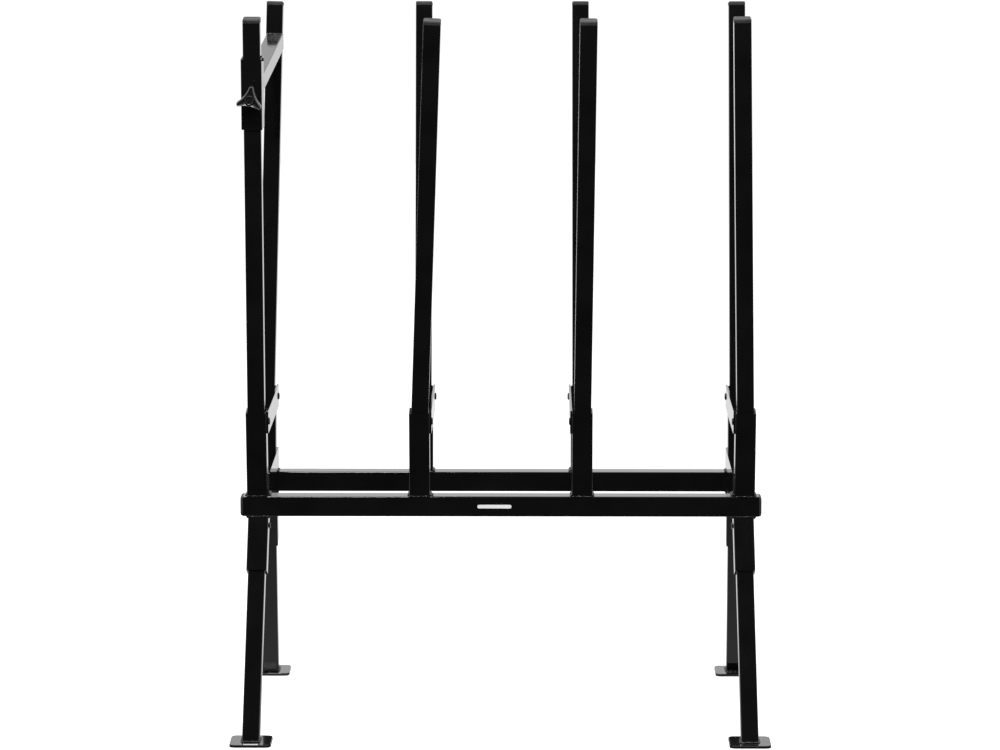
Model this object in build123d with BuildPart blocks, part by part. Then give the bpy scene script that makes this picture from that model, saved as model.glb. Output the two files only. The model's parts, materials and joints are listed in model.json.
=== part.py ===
from build123d import *
import os
from math import cos, radians, sin, tan

# Saw-horse for cutting firewood: two square-tube rails on four splayed legs, with four pairs of
# uprights that lean apart into a long open V, and a hold-down arm that slides on one upright.
# X runs along the rails, Y from front (-) to rear (+), Z up. The origin is on the floor, centred.

# Square tube stock
WALL = 1.5
OUTER = 30.0  # rails, sockets, leg sleeves and hold-down sleeve
INNER = 25.0  # uprights, legs and hold-down arm
OUTER_CORNER = 1.8
INNER_CORNER = 1.6
BORE_CORNER = 0.1  # added to the inner corner so that it stays round

# Rails
RAIL_TUBE = 756.0
RAIL_CAP = 4.0
RAIL_Y = 102.0
RAIL_Z = 327.5
RAIL_TOP = RAIL_Z + OUTER / 2
RAIL_UNDER = RAIL_Z - OUTER / 2

# Uprights and their sockets, four stations along each rail
PITCH = 238.0
STATIONS = [PITCH * (i - 1.5) for i in range(4)]
LEAN = 7.0
SOCKET_LENGTH = 128.5
UPRIGHT_TOP = 709.5  # along the lean, from the rail to the top of the end cap
UPRIGHT_SEAT = 54.0  # how far an upright goes into its socket
CAP_HEIGHT = 6.0
CAP_CORNER = 2.0
CAP_OUTLINE = 2.4  # corners of a cap's outline, a little rounder than the tube's
PLUG_DEPTH = 10.0
PLUG_PLAY = 0.4
PLUG_CORNER = 1.0
# How far each upright turns within its play in the socket, sideways and outwards
SEAT_TILT = {"front": (0.3, 2.1, 0.6, -1.25), "rear": (1.3, 0.1, -0.1, -0.3)}
SEAT_LEAN = {"front": (0.0, 0.9, 1.1, -0.5), "rear": (0.0, 0.0, 0.0, 0.0)}

# Flat-bar ties between each front and rear socket
TIE_THICK = 3.0
TIE_HEIGHT = 34.0
UPPER_TIE_TOP = 471.0
TIE_CORNER = 1.5
TIE_INSET = 3.0  # from the socket's outer edge to the end of the bar

# Legs
LEG_X = 355.5
LEG_SPLAY = 22.6
LEG_TOE_OUT = 1.0
LEG_SLEEVE = {"front": 86.0, "rear": 93.0}
LEG_START = 6.0
FOOT = 60.0
FOOT_THICK = 4.0
FOOT_CORNER = 8.0
FOOT_BEVEL = 0.6

# Bolts: M6 with low heads on the outside and hexagon nuts inside the inner tube
BOLT_R = 3.0
BOLT_HOLE_R = 3.5
BOLT_HEAD_R = 5.25
BOLT_HEAD = 1.8
BOLT_HEAD_TAPER = 30.0
SOCKET_KEY = 4.0
KEY_DEPTH = 1.2
NUT_FLATS = 10.0
NUT_HEIGHT = 5.0
BOLT_TAIL = 1.0
NUT_PLAY = 0.6  # from the nut to the wall, because the inner tube leans a little
LEG_BOLT_DROP = 15.0
LEG_BOLT_CLEAR = 0.4  # under the head, because the sleeve toes out a little

# Hold-down on the front left upright
HOLD_TOP = UPRIGHT_TOP - 57.0
HOLD_SLEEVE = 102.5
HOLD_KNOB = 54.0  # from the sleeve's top to the knob's axis
ARM_DROP = 43.0  # from the sleeve's top to the arm's centre line
ARM_LENGTH = 281.0
ARM_RISE = 1.6  # above square to the upright
HOLD_TURN = 2.8  # about the upright, within the sleeve's play
STUD_R = 4.0
STUD_GAP = 0.05
STUD_END_GAP = 0.3
CLAMP_NUT = 13.0
CLAMP_NUT_HEIGHT = 8.0
STUD_BEVEL = 0.6
KNOB_STAND = 14.0  # from the sleeve's face to the back of the knob
KNOB_THICK = 13.0
HUB_BACK = (KNOB_STAND - CLAMP_NUT_HEIGHT) / 2
KNOB_LOBE = 20.0
KNOB_TIP_R = 3.5
KNOB_HUB_R = 8.5
KNOB_WAIST_R = 9.5
KNOB_WRAP = 72.0
KNOB_ANGLE = 81.0

os.makedirs("parts", exist_ok=True)


def save(part, label):
    part.label = label
    export_step(part, f"parts/{label}.step")


def tube_section(size, corner):
    RectangleRounded(size, size, corner)
    RectangleRounded(size - 2 * WALL, size - 2 * WALL, corner - WALL + BORE_CORNER, mode=Mode.SUBTRACT)


def plug_section(size):
    """The hollow plug of an end cap, a loose push fit inside the tube."""
    plug = size - 2 * WALL - PLUG_PLAY
    RectangleRounded(plug, plug, PLUG_CORNER)
    Rectangle(plug - 2 * WALL, plug - 2 * WALL, mode=Mode.SUBTRACT)


def tilted(x, side, start_z, lean, tilt, up):
    """A plane at a rail, square to an axis that leans outward by lean and along X by tilt."""
    direction = Vector(sin(radians(tilt)), side * sin(radians(lean)), up * cos(radians(lean)))
    across = Vector(cos(radians(tilt)), 0, 0)
    across = across - direction * (across.dot(direction) / direction.dot(direction))
    return Plane(origin=(x, side * RAIL_Y, start_z), x_dir=across, z_dir=direction)


def cross_hole(x, y, z, radius):
    """A hole along X through whatever stands at the given place."""
    with BuildSketch(Plane(origin=(x, y, z), x_dir=(0, 1, 0), z_dir=(1, 0, 0))) as hole:
        Circle(radius)
    extrude(hole.sketch, amount=OUTER, both=True, mode=Mode.SUBTRACT)


def inward(x):
    return -1 if x > 0 else 1


SIDES = {"front": -1, "rear": 1}
TIE_BOLT_Z = UPPER_TIE_TOP - TIE_HEIGHT / 2
TIE_BOLT_Y = RAIL_Y + (TIE_BOLT_Z - RAIL_TOP) * tan(radians(LEAN))
LEG_BOLT_Z = RAIL_UNDER - LEG_BOLT_DROP
LEG_BOLT_Y = RAIL_Y + LEG_BOLT_DROP * tan(radians(LEG_SPLAY))


def seat_plane(name, station):
    """The upright's own axis, turned in its socket about the middle of its seat."""
    side = SIDES[name]
    pivot = SOCKET_LENGTH - UPRIGHT_SEAT / 2
    straight = tilted(STATIONS[station], side, RAIL_TOP, LEAN, 0, 1)
    pivot_point = straight.offset(pivot).origin
    lean = LEAN + SEAT_LEAN[name][station]
    turned = tilted(STATIONS[station], side, RAIL_TOP, lean, SEAT_TILT[name][station], 1)
    return Plane(origin=pivot_point, x_dir=turned.x_dir, z_dir=turned.z_dir).offset(-pivot)


# Rails
for name, side in SIDES.items():
    with BuildPart() as rail:
        start = (-RAIL_TUBE / 2, side * RAIL_Y, RAIL_Z)
        with BuildSketch(Plane(origin=start, x_dir=(0, 1, 0), z_dir=(1, 0, 0))):
            tube_section(OUTER, OUTER_CORNER)
        extrude(amount=RAIL_TUBE)
    save(rail.part, f"rail_{name}")
    for end, sign in (("left", -1), ("right", 1)):
        middle = (sign * RAIL_TUBE / 2, side * RAIL_Y, RAIL_Z)
        face = Plane(origin=middle, x_dir=(0, 1, 0), z_dir=(sign, 0, 0))
        with BuildPart() as rail_cap:
            with BuildSketch(face):
                RectangleRounded(OUTER, OUTER, CAP_OUTLINE)
            extrude(amount=RAIL_CAP)
            fillet(rail_cap.faces().sort_by(Axis.X)[-1 if sign > 0 else 0].edges(), CAP_CORNER)
            with BuildSketch(face):
                plug_section(OUTER)
            extrude(amount=-PLUG_DEPTH)
        save(rail_cap.part, f"rail_cap_{name}_{end}")

# Sockets, uprights and end caps
for name, side in SIDES.items():
    for station, x in enumerate(STATIONS):
        axis_plane = tilted(x, side, RAIL_TOP, LEAN, 0, 1)
        with BuildPart() as socket:
            with BuildSketch(axis_plane.offset(-OUTER / 2)):
                tube_section(OUTER, OUTER_CORNER)
            extrude(amount=SOCKET_LENGTH + OUTER / 2)
            split(bisect_by=Plane.XY.offset(RAIL_TOP), keep=Keep.TOP)
            cross_hole(x, side * TIE_BOLT_Y, TIE_BOLT_Z, BOLT_HOLE_R)
        save(socket.part, f"socket_{name}_{station + 1}")

        seated = seat_plane(name, station)
        with BuildPart() as upright:
            with BuildSketch(seated.offset(SOCKET_LENGTH - UPRIGHT_SEAT)):
                tube_section(INNER, INNER_CORNER)
            extrude(amount=UPRIGHT_TOP - CAP_HEIGHT - SOCKET_LENGTH + UPRIGHT_SEAT)
            cross_hole(x, side * TIE_BOLT_Y, TIE_BOLT_Z, BOLT_HOLE_R)
        save(upright.part, f"upright_{name}_{station + 1}")

        cap_plane = seated.offset(UPRIGHT_TOP - CAP_HEIGHT)
        with BuildPart() as upright_cap:
            with BuildSketch(cap_plane):
                RectangleRounded(INNER, INNER, CAP_OUTLINE)
            extrude(amount=CAP_HEIGHT)
            top = upright_cap.faces().sort_by(Axis(cap_plane.origin, cap_plane.z_dir))[-1]
            fillet(top.edges(), CAP_CORNER)
            with BuildSketch(cap_plane):
                plug_section(INNER)
            extrude(amount=-PLUG_DEPTH)
        save(upright_cap.part, f"upright_cap_{name}_{station + 1}")

# Ties: an upper one bolted at each station, a lower one welded at each outer station
for station, x in enumerate(STATIONS):
    tie_x = x + inward(x) * (OUTER / 2 + TIE_THICK / 2)
    rise = UPPER_TIE_TOP - TIE_HEIGHT - RAIL_TOP
    reach = RAIL_Y + rise * tan(radians(LEAN)) + OUTER / 2 - TIE_INSET
    with BuildPart() as upper_tie:
        with Locations((tie_x, 0, UPPER_TIE_TOP - TIE_HEIGHT / 2)):
            Box(TIE_THICK, 2 * reach, TIE_HEIGHT)
        fillet(upper_tie.edges().filter_by(Axis.X), TIE_CORNER)
        for side in SIDES.values():
            cross_hole(x, side * TIE_BOLT_Y, TIE_BOLT_Z, BOLT_HOLE_R)
    save(upper_tie.part, f"upper_tie_{station + 1}")

for name, station in (("left", 0), ("right", -1)):
    x = STATIONS[station]
    with BuildPart() as lower_tie:
        with Locations((x + inward(x) * (OUTER / 2 + TIE_THICK / 2), 0, RAIL_TOP + TIE_HEIGHT / 2)):
            Box(TIE_THICK, 2 * (RAIL_Y + OUTER / 2 - TIE_INSET), TIE_HEIGHT)
        fillet(lower_tie.edges().filter_by(Axis.X), TIE_CORNER)
    save(lower_tie.part, f"lower_tie_{name}")

# Leg sleeves, legs and foot plates
for name, side in SIDES.items():
    for end, sign in (("left", -1), ("right", 1)):
        leg_axis = tilted(sign * LEG_X, side, RAIL_UNDER, LEG_SPLAY, sign * LEG_TOE_OUT, -1)
        with BuildPart() as leg_sleeve:
            with BuildSketch(leg_axis.offset(-OUTER / 2)):
                tube_section(OUTER, OUTER_CORNER)
            extrude(amount=LEG_SLEEVE[name] + OUTER / 2)
            split(bisect_by=Plane.XY.offset(RAIL_UNDER), keep=Keep.BOTTOM)
            cross_hole(sign * LEG_X, side * LEG_BOLT_Y, LEG_BOLT_Z, BOLT_HOLE_R)
        save(leg_sleeve.part, f"leg_sleeve_{name}_{end}")

        leg_length = (RAIL_UNDER - FOOT_THICK) / cos(radians(LEG_SPLAY))
        with BuildPart() as leg:
            with BuildSketch(leg_axis.offset(LEG_START)):
                tube_section(INNER, INNER_CORNER)
            extrude(amount=leg_length - LEG_START + INNER)
            split(bisect_by=Plane.XY.offset(FOOT_THICK), keep=Keep.TOP)
            cross_hole(sign * LEG_X, side * LEG_BOLT_Y, LEG_BOLT_Z, BOLT_HOLE_R)
        save(leg.part, f"leg_{name}_{end}")

        heel = leg_axis.offset(leg_length).origin
        with BuildPart() as foot_plate:
            with Locations((heel.X, heel.Y, FOOT_THICK / 2)):
                Box(FOOT, FOOT, FOOT_THICK)
            fillet(foot_plate.edges().filter_by(Axis.Z), FOOT_CORNER)
            chamfer(foot_plate.faces().sort_by(Axis.Z)[-1].edges(), FOOT_BEVEL)
        save(foot_plate.part, f"foot_plate_{name}_{end}")


# Bolts and nuts through the centre-facing walls
def bolt_at(x, y, z, clamped):
    """A button-head bolt whose head bears on the centre-facing side of a tube at x."""
    out = -inward(x)
    under_head = x - out * (OUTER / 2 + clamped)
    seat = Plane(origin=(under_head, y, z), x_dir=(0, 1, 0), z_dir=(out, 0, 0))
    with BuildSketch(seat) as shank:
        Circle(BOLT_R)
    grip = clamped + (OUTER - INNER) / 2 + WALL + NUT_PLAY
    extrude(shank.sketch, amount=grip + NUT_HEIGHT + BOLT_TAIL)
    with BuildSketch(seat) as head:
        Circle(BOLT_HEAD_R)
    extrude(head.sketch, amount=-BOLT_HEAD, taper=BOLT_HEAD_TAPER)
    with BuildSketch(seat.offset(-BOLT_HEAD)) as key:
        RegularPolygon(SOCKET_KEY / 2, 6, major_radius=False)
    extrude(key.sketch, amount=KEY_DEPTH, mode=Mode.SUBTRACT)


def nut_at(x, y, z):
    """A hexagon nut inside the inner tube, behind its centre-facing wall."""
    out = -inward(x)
    start = x - out * (INNER / 2 - WALL - NUT_PLAY)
    seat = Plane(origin=(start, y, z), x_dir=(0, 1, 0), z_dir=(out, 0, 0))
    with BuildSketch(seat) as nut:
        RegularPolygon(NUT_FLATS / 2, 6, major_radius=False)
        Circle(BOLT_R, mode=Mode.SUBTRACT)
    extrude(nut.sketch, amount=NUT_HEIGHT)


with BuildPart() as tie_bolts:
    for x in STATIONS:
        for side in SIDES.values():
            bolt_at(x, side * TIE_BOLT_Y, TIE_BOLT_Z, TIE_THICK)
save(tie_bolts.part, "tie_bolts")

with BuildPart() as tie_nuts:
    for x in STATIONS:
        for side in SIDES.values():
            nut_at(x, side * TIE_BOLT_Y, TIE_BOLT_Z)
save(tie_nuts.part, "tie_nuts")

with BuildPart() as leg_bolts:
    for sign in (-1, 1):
        for side in SIDES.values():
            bolt_at(sign * LEG_X, side * LEG_BOLT_Y, LEG_BOLT_Z, LEG_BOLT_CLEAR)
save(leg_bolts.part, "leg_bolts")

with BuildPart() as leg_nuts:
    for sign in (-1, 1):
        for side in SIDES.values():
            nut_at(sign * LEG_X, side * LEG_BOLT_Y, LEG_BOLT_Z)
save(leg_nuts.part, "leg_nuts")

# Hold-down: a sleeve on the front left upright, with an arm to the rear and a clamping knob in front
upright_axis = seat_plane("front", 0)
square_on = upright_axis.z_dir.cross(upright_axis.x_dir)
turn = radians(HOLD_TURN)
across = upright_axis.x_dir * cos(turn) - square_on * sin(turn)
to_rear = square_on * cos(turn) + upright_axis.x_dir * sin(turn)
guide = Plane(origin=upright_axis.origin, x_dir=across, z_dir=upright_axis.z_dir)
arm_centre = guide.offset(HOLD_TOP - ARM_DROP).origin
knob_centre = guide.offset(HOLD_TOP - HOLD_KNOB).origin
rear_face = Plane(origin=arm_centre + to_rear * (OUTER / 2), x_dir=across, z_dir=to_rear)
arm_direction = to_rear * cos(radians(ARM_RISE)) + guide.z_dir * sin(radians(ARM_RISE))
arm_start = Plane(origin=rear_face.origin, x_dir=across, z_dir=arm_direction)
knob_face = Plane(origin=knob_centre - to_rear * (OUTER / 2), x_dir=across, z_dir=to_rear * -1)

with BuildPart() as hold_down_sleeve:
    with BuildSketch(guide.offset(HOLD_TOP - HOLD_SLEEVE)):
        tube_section(OUTER, OUTER_CORNER)
    extrude(amount=HOLD_SLEEVE)
    with BuildSketch(knob_face):
        Circle(STUD_R + STUD_GAP)
    extrude(amount=-OUTER / 2, mode=Mode.SUBTRACT)
save(hold_down_sleeve.part, "hold_down_sleeve")

with BuildPart() as hold_down_arm:
    with BuildSketch(arm_start.offset(-WALL)):
        tube_section(INNER, INNER_CORNER)
    extrude(amount=ARM_LENGTH + WALL)
    split(bisect_by=rear_face, keep=Keep.TOP)
save(hold_down_arm.part, "hold_down_arm")

arm_end = arm_start.offset(ARM_LENGTH)
with BuildPart() as arm_cap:
    with BuildSketch(arm_end):
        RectangleRounded(INNER, INNER, CAP_OUTLINE)
    extrude(amount=RAIL_CAP)
    fillet(arm_cap.faces().sort_by(Axis(arm_end.origin, arm_end.z_dir))[-1].edges(), CAP_CORNER)
    with BuildSketch(arm_end):
        plug_section(INNER)
    extrude(amount=-PLUG_DEPTH)
save(arm_cap.part, "arm_cap")

with BuildPart() as clamp_nut:
    with BuildSketch(knob_face):
        RegularPolygon(CLAMP_NUT / 2, 6, major_radius=False)
        Circle(STUD_R + STUD_GAP, mode=Mode.SUBTRACT)
    extrude(amount=CLAMP_NUT_HEIGHT)
save(clamp_nut.part, "clamp_nut")

# The stud's tip stands just clear of the upright and goes through nut and sleeve into the knob
stud_tip = -(OUTER - INNER) / 2 + STUD_END_GAP
with BuildPart() as clamp_stud:
    with BuildSketch(knob_face.offset(stud_tip)):
        Circle(STUD_R)
    extrude(amount=KNOB_STAND + KNOB_THICK / 2 - stud_tip)
    chamfer(clamp_stud.edges().group_by(Axis(knob_face.origin, knob_face.z_dir))[0], STUD_BEVEL)
save(clamp_stud.part, "clamp_stud")

# Three-lobed knob: concave sides between rounded tips, with a raised hub
knob_plane = Plane(
    origin=knob_face.offset(KNOB_STAND).origin, x_dir=knob_face.x_dir, z_dir=knob_face.z_dir
)
lobe_centre = KNOB_LOBE - KNOB_TIP_R


def knob_point(centre_distance, lobe_angle, radius, angle):
    centre = Vector(centre_distance, 0).rotate(Axis.Z, lobe_angle)
    return centre + Vector(radius, 0).rotate(Axis.Z, angle)


with BuildPart() as clamp_knob:
    with BuildSketch(knob_plane):
        with BuildLine():
            for i in range(3):
                lobe = KNOB_ANGLE + 120 * i
                round_from = knob_point(lobe_centre, lobe, KNOB_TIP_R, lobe - KNOB_WRAP)
                round_to = knob_point(lobe_centre, lobe, KNOB_TIP_R, lobe + KNOB_WRAP)
                following = knob_point(lobe_centre, lobe + 120, KNOB_TIP_R, lobe + 120 - KNOB_WRAP)
                ThreePointArc(round_from, knob_point(KNOB_LOBE, lobe, 0, 0), round_to)
                ThreePointArc(round_to, knob_point(KNOB_WAIST_R, lobe + 60, 0, 0), following)
        make_face()
    extrude(amount=KNOB_THICK)
    with BuildSketch(knob_plane):
        Circle(KNOB_HUB_R)
    extrude(amount=-HUB_BACK)
    with BuildSketch(knob_plane.offset(-HUB_BACK)):
        Circle(STUD_R + STUD_GAP)
    extrude(amount=HUB_BACK + KNOB_THICK / 2 + STUD_END_GAP, mode=Mode.SUBTRACT)
save(clamp_knob.part, "clamp_knob")
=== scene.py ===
"""Looks of a firewood saw-horse: powder coat, weld beads, bolts, end caps and the clamping knob.

Everything is in metres, in the frame of the packed model: X along the rails, Y from front to rear, Z up.
"""

import json
from math import atan2, cos, pi, radians, sin, sqrt, tau

import bmesh
import bpy
from bpy.props import FloatProperty, FloatVectorProperty, IntProperty, PointerProperty
from mathutils import Matrix, Vector


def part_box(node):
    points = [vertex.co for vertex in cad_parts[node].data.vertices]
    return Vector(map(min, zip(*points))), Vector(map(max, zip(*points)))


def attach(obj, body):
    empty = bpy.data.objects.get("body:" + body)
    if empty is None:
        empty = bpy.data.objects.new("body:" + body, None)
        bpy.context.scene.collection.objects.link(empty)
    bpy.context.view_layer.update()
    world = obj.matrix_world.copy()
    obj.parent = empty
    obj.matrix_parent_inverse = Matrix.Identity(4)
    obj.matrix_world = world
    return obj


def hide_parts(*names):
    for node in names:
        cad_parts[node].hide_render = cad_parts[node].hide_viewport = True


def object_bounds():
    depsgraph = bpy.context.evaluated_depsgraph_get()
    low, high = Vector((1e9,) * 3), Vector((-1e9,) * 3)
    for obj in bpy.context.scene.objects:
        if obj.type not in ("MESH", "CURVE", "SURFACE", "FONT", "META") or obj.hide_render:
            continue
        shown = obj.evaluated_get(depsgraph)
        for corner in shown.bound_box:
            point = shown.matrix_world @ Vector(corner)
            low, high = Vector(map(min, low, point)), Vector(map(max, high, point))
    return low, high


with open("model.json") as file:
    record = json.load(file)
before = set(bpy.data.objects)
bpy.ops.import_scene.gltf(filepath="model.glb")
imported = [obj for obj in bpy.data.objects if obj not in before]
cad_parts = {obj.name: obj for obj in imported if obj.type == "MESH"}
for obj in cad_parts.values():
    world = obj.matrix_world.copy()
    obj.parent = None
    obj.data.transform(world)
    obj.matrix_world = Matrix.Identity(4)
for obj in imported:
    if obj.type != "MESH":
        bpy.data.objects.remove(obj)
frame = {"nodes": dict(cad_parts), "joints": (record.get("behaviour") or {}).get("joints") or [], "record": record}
CAD_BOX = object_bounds()
NODES = frame["nodes"]

bl_info = {
    "name": "Firewood Saw-Horse",
    "version": (1, 0, 0),
    "blender": (4, 5, 0),
    "location": "3D View > Sidebar > Saw-Horse",
    "description": "Finishes, welds, fasteners, end caps and clamping knob of a firewood saw-horse",
    "category": "Object",
}

SIDES = {"front": -1, "rear": 1}
ENDS = {"left": -1, "right": 1}
STATIONS = (1, 2, 3, 4)
FRAME_BODY = "frame"
HOLD_BODY = "hold_down"
STUD_BODY = "clamp_stud"
KNOB_BODY = "clamp_knob"

X_AXIS = Vector((1, 0, 0))
Y_AXIS = Vector((0, 1, 0))
FACING_LIMIT = 0.96  # cosine within which a face counts as looking a given way
COLUMN_REACH = 0.04  # how far from the middle of its tube a fastener may reach
ON_PLANE = 0.0003  # how near a vertex has to be to count as on a plane
OUTWARD_LEAN = 0.12  # sine of the uprights' lean, near enough to find their faces
ARM_WAY = (0.04, 0.98, 0.14)  # roughly where the hold-down arm points
SLEEVE_TOP = (0, -OUTWARD_LEAN, 0.99)
SLEEVE_BACK = (0, 0.99, OUTWARD_LEAN)

# Finishes: ripple depths in metres, and roughness from 0 to 1
COAT_RIPPLE = 0.000016
WELD_RIPPLE = 0.00005
WELD_DULLER = 1.5  # how much rougher the coat is over a weld
CAP_FINISH = (0.50, 0.0007, 0.00003, 0.3)  # roughness, grain, grain depth, gloss
KNOB_FINISH = (0.30, 0.0005, 0.00002, 0.6)
# Metals: cloud size, darkest and lightest colour, metallic, roughness range, grain, grain depth
OXIDE_COLORS = (0.012, 0.012, 0.013, 1.0), (0.035, 0.034, 0.036, 1.0)
ZINC_COLORS = (0.42, 0.42, 0.41, 1.0), (0.62, 0.63, 0.65, 1.0)
BLACK_OXIDE = (0.0025, *OXIDE_COLORS, 0.35, (0.28, 0.42), 0.0004, 0.00002)
ZINC_PLATE = (0.004, *ZINC_COLORS, 1.0, (0.24, 0.40), 0.0003, 0.00001)

# Stage: where a reflected white fades out towards the front, and how strong it is at both ends
FLOOR_FADE = {"From Min": -0.55, "From Max": 0.75, "To Min": 0.03, "To Max": 0.95}
ROOM_FADE = {"From Min": -0.60, "From Max": -0.15, "To Min": 0.03, "To Max": 1.05}
FLOOR_GLOW = 0.85
FLOOR_PAPER = 0.45
ROOM_WHITE = 1.05
# Lights: name, place, aim, size, watts, and whether glossy faces mirror it
LIGHTS = (
    ("overhead", (0, 0.3, CAD_BOX[1][2] + 2.2), (0, 0, 0), 3.0, 24, True),
    ("left_side", (-3.2, 0.2, 1.3), (0, 0, 0.5), 2.0, 14, True),
    ("right_side", (3.2, 0.2, 1.3), (0, 0, 0.5), 2.0, 14, True),
    ("front_fill", (0.8, -4.0, 3.0), (0, 0, 0.5), 2.5, 140, False),
    ("key", (-0.5, -2.2, 3.2), (0, 0, 0.7), 0.6, 70, True),
)
FLOOR_DROP = 0.0002  # below the feet, so that the two faces don't meet


# ---------------------------------------------------------------- settings


def length_field(name, description, default, low=0.0):
    """A field of a settings group that holds a length in metres."""
    return FloatProperty(name=name, description=description, unit="LENGTH", default=default, min=low)


def share_field(name, description, default, high=1.0):
    """A field of a settings group that holds a share of something."""
    return FloatProperty(
        name=name, description=description, subtype="FACTOR", default=default, min=0.0, max=high
    )


def color_field(name, description, default):
    """A field of a settings group that holds a colour."""
    return FloatVectorProperty(
        name=name, description=description, subtype="COLOR", size=4, default=default, min=0.0, max=1.0
    )


class SawhorseFinish(bpy.types.PropertyGroup):
    """Paint and plastic finishes"""

    coat_color: color_field("Powder coat", "Colour of the gloss powder coat", (0.0035, 0.0035, 0.0037, 1.0))
    coat_roughness: share_field("Coat roughness", "How far the powder coat blurs what it reflects", 0.07)
    orange_peel: length_field("Orange peel", "Distance between the ripples of the powder coat", 0.0016)
    cap_color: color_field("End caps", "Colour of the moulded end caps", (0.026, 0.026, 0.027, 1.0))
    knob_color: color_field("Knob", "Colour of the moulded clamping knob", (0.008, 0.008, 0.0085, 1.0))
    mark_color: color_field(
        "Printed bar", "Colour of the plain bar printed on the front rail", (0.9, 0.9, 0.89, 1.0)
    )


class SawhorseWelds(bpy.types.PropertyGroup):
    """Weld beads"""

    fillet: length_field("Fillet bead", "Radius of the beads beside sockets, leg sleeves and ties", 0.0026)
    seam: length_field("Flush seam", "Radius of the low beads where two faces are flush", 0.0011)
    foot: length_field("Foot bead", "Radius of the beads around the legs on their foot plates", 0.0022)
    pitch: length_field("Ripple pitch", "Distance from one ripple of a bead to the next", 0.0021)
    depth: share_field(
        "Ripple depth", "How far a bead narrows between ripples, as a share of its radius", 0.13, 0.5
    )
    unevenness: share_field("Unevenness", "How far a bead's width wanders, as a share of its radius", 0.75)
    profile_sides: IntProperty(
        name="Profile sides",
        description="Corners around a bead's section",
        default=10,
        min=6,
        max=32,
    )


class SawhorseFasteners(bpy.types.PropertyGroup):
    """Bolts and nuts"""

    head_radius: length_field("Head radius", "Radius of the low heads", 0.00525)
    head_height: length_field("Head height", "Height of the low heads", 0.0018)
    key_flats: length_field("Key size", "Distance across the flats of the hexagon socket", 0.004)
    key_depth: length_field("Key depth", "Depth of the hexagon socket", 0.0012)
    shank_radius: length_field("Thread radius", "Outer radius of the bolt's thread", 0.003)
    thread_pitch: length_field("Thread pitch", "Distance from one thread to the next", 0.001)
    nut_flats: length_field("Nut size", "Distance across the flats of the nuts", 0.010)


class SawhorseCaps(bpy.types.PropertyGroup):
    """Moulded end caps"""

    rim: length_field("Rim", "Width of the rounded rim of an end cap", 0.0022)
    rail_rim: length_field("Rail cap rim", "Width of the rounded rim of the caps on the rails' ends", 0.0036)
    corner: length_field("Corner", "Radius of the corners of an end cap's outline", 0.0024)
    rail_corner: length_field("Rail cap corner", "Radius of the corners of a rail cap's outline", 0.0042)
    border: length_field("Border", "Distance from a cap's edge to its sunken middle", 0.0048)
    sink: length_field("Sink", "How far the middle of a cap is sunk", 0.0005)
    groove: length_field("Seam", "Depth of the joint line between a cap and its tube", 0.0004)


class SawhorseKnob(bpy.types.PropertyGroup):
    """Three-lobed clamping knob and its stud"""

    lobe_reach: length_field("Lobe reach", "From the knob's axis to the tip of a lobe", 0.020)
    tip_radius: length_field("Tip radius", "Radius of the rounded tip of a lobe", 0.0035)
    waist: length_field("Waist", "From the knob's axis to the middle of a hollow side", 0.0095)
    thickness: length_field("Thickness", "Thickness of the lobes", 0.013)
    first_lobe: FloatProperty(
        name="First lobe",
        description="Angle of the first lobe about the axis, from the rail's direction",
        subtype="ANGLE",
        default=radians(81),
    )
    hub_radius: length_field("Hub ring", "Outer radius of the raised ring around the hub", 0.0068)
    stud_radius: length_field("Stud radius", "Outer radius of the clamping stud's thread", 0.004)
    stud_pitch: length_field("Stud pitch", "Pitch of the clamping stud's thread", 0.00125)
    nut_flats: length_field("Welded nut", "Distance across the flats of the nut welded to the sleeve", 0.013)


class SawhorseMark(bpy.types.PropertyGroup):
    """Plain printed bar on the front rail"""

    length: length_field("Length", "Length of the bar", 0.050)
    height: length_field("Height", "Height of the bar", 0.0055)
    offset: length_field(
        "Offset", "How far the bar's middle stands to the right of the rail's middle", -0.0095, low=-1.0
    )
    thickness: length_field("Thickness", "Thickness of the ink", 0.00012)


class SawhorseStage(bpy.types.PropertyGroup):
    """Floor, lights and camera"""

    camera_distance: length_field(
        "Camera distance", "How far the camera stands in front of the saw-horse's middle", 6.0
    )
    camera_height: length_field("Camera height", "Height of the camera", 1.4331)
    camera_side: length_field("Camera side", "How far the camera stands to the right of the middle", 0.0434)
    camera_pitch: FloatProperty(
        name="Camera pitch", description="How far the camera looks down", subtype="ANGLE", default=0.15354
    )
    camera_turn: FloatProperty(
        name="Camera turn", description="How far the camera is turned left", subtype="ANGLE", default=0.00759
    )
    lens: FloatProperty(
        name="Lens",
        description="Focal length in millimetres on a 36 mm sensor",
        default=147.05,
        min=10.0,
    )
    floor_size: length_field("Floor", "Length of a side of the floor", 16.0)


SETTINGS = {
    "sawhorse_finish": SawhorseFinish,
    "sawhorse_welds": SawhorseWelds,
    "sawhorse_fasteners": SawhorseFasteners,
    "sawhorse_caps": SawhorseCaps,
    "sawhorse_knob": SawhorseKnob,
    "sawhorse_mark": SawhorseMark,
    "sawhorse_stage": SawhorseStage,
}


# ---------------------------------------------------------------- reading the packed model


def facing(node, towards):
    """The mean direction of a node's faces that look roughly the given way."""
    towards = Vector(towards).normalized()
    total = Vector()
    for face in NODES[node].data.polygons:
        if face.normal.dot(towards) > FACING_LIMIT:
            total += face.normal * face.area
    if total.length == 0:
        raise RuntimeError(f"{node} has no face that looks towards {tuple(towards)}")
    return total.normalized()


def reach(node, direction):
    """How far a node reaches along a direction, lowest and highest."""
    along = [vertex.co.dot(direction) for vertex in NODES[node].data.vertices]
    return min(along), max(along)


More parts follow.
